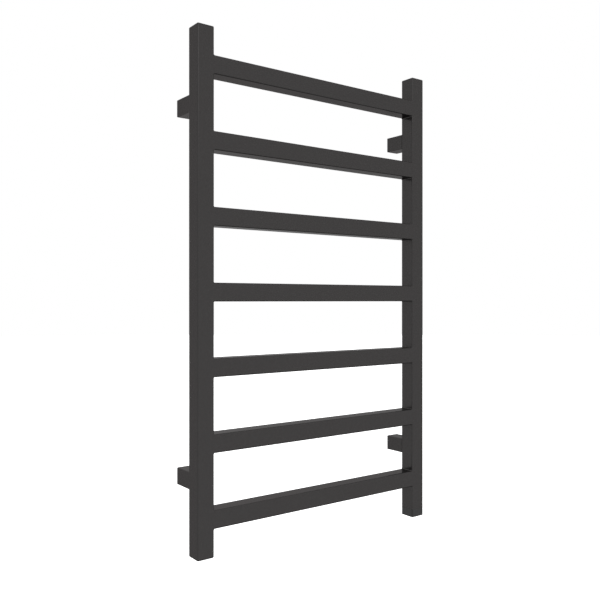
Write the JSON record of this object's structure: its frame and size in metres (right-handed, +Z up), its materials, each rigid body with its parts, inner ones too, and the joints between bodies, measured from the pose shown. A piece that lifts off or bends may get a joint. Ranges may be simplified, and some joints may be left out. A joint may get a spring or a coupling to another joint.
{
  "type": "towel warmer rack",
  "caption": "Square-tube ladder towel warmer rack with straight cross bars, stand-off wall brackets and a small electric control head at its foot.",
  "frame": {"origin": "on the wall plane, at the centre of the rectangle of the four wall fixings, level with the middle bar", "axes": "+X to the right seen from the front, -Y out of the wall into the room, +Z up"},
  "size_m": [0.5, 0.072, 0.856],
  "materials": {
    "coat": "anthracite powder coat, fine satin texture",
    "head_plastic": "black moulded plastic, satin, rounded edges",
    "button_plastic": "black moulded plastic, satin",
    "black_plastic": "black glass-filled plastic",
    "opal_plastic": "opal light-guide plastic",
    "zinc_steel": "bright zinc plated steel",
    "stainless": "stainless steel",
    "brass": "turned brass",
    "silicone": "red silicone rubber",
    "rubber": "black rubber",
    "board": "green solder-masked glass epoxy"
  },
  "bodies": {
    "rack": {"left_upright": "coat", "right_upright": "coat", "end_plate_top_left": "coat", "end_plate_top_right": "coat", "end_plate_bottom_left": "coat", "bar_1": "coat", "bar_2": "coat", "bar_3": "coat", "bar_4": "coat", "bar_5": "coat", "bar_6": "coat", "bar_7": "coat", "bracket_boss_top_left": "zinc_steel", "bracket_bolt_top_left": "stainless", "bracket_sleeve_top_left": "coat", "wall_foot_top_left": "zinc_steel", "grub_screw_top_left": "stainless", "bracket_boss_top_right": "zinc_steel", "bracket_bolt_top_right": "stainless", "bracket_sleeve_top_right": "coat", "wall_foot_top_right": "zinc_steel", "grub_screw_top_right": "stainless", "bracket_boss_bottom_left": "zinc_steel", "bracket_bolt_bottom_left": "stainless", "bracket_sleeve_bottom_left": "coat", "wall_foot_bottom_left": "zinc_steel", "grub_screw_bottom_left": "stainless", "bracket_boss_bottom_right": "zinc_steel", "bracket_bolt_bottom_right": "stainless", "bracket_sleeve_bottom_right": "coat", "wall_foot_bottom_right": "zinc_steel", "grub_screw_bottom_right": "stainless", "element_socket": "zinc_steel", "element_gasket": "silicone", "element_fitting": "brass", "heating_element": "stainless", "sensor_pocket": "stainless", "temperature_sensor": "brass", "head_housing": "head_plastic", "light_guide": "opal_plastic", "switch_body": "black_plastic", "circuit_board": "board", "element_lead_left": "silicone", "element_lead_right": "silicone", "cable_grommet": "rubber"},
    "push_button": {"button_cap": "button_plastic", "switch_plunger": "opal_plastic"}
  },
  "joints": [
    {"name": "button_press", "type": "slide", "parent": "rack", "child": "push_button", "axis": [0, 0, 1], "range_m": [0, 0.001], "stiffness_N_per_m": 1000, "springref_m": -0.0005}
  ]
}
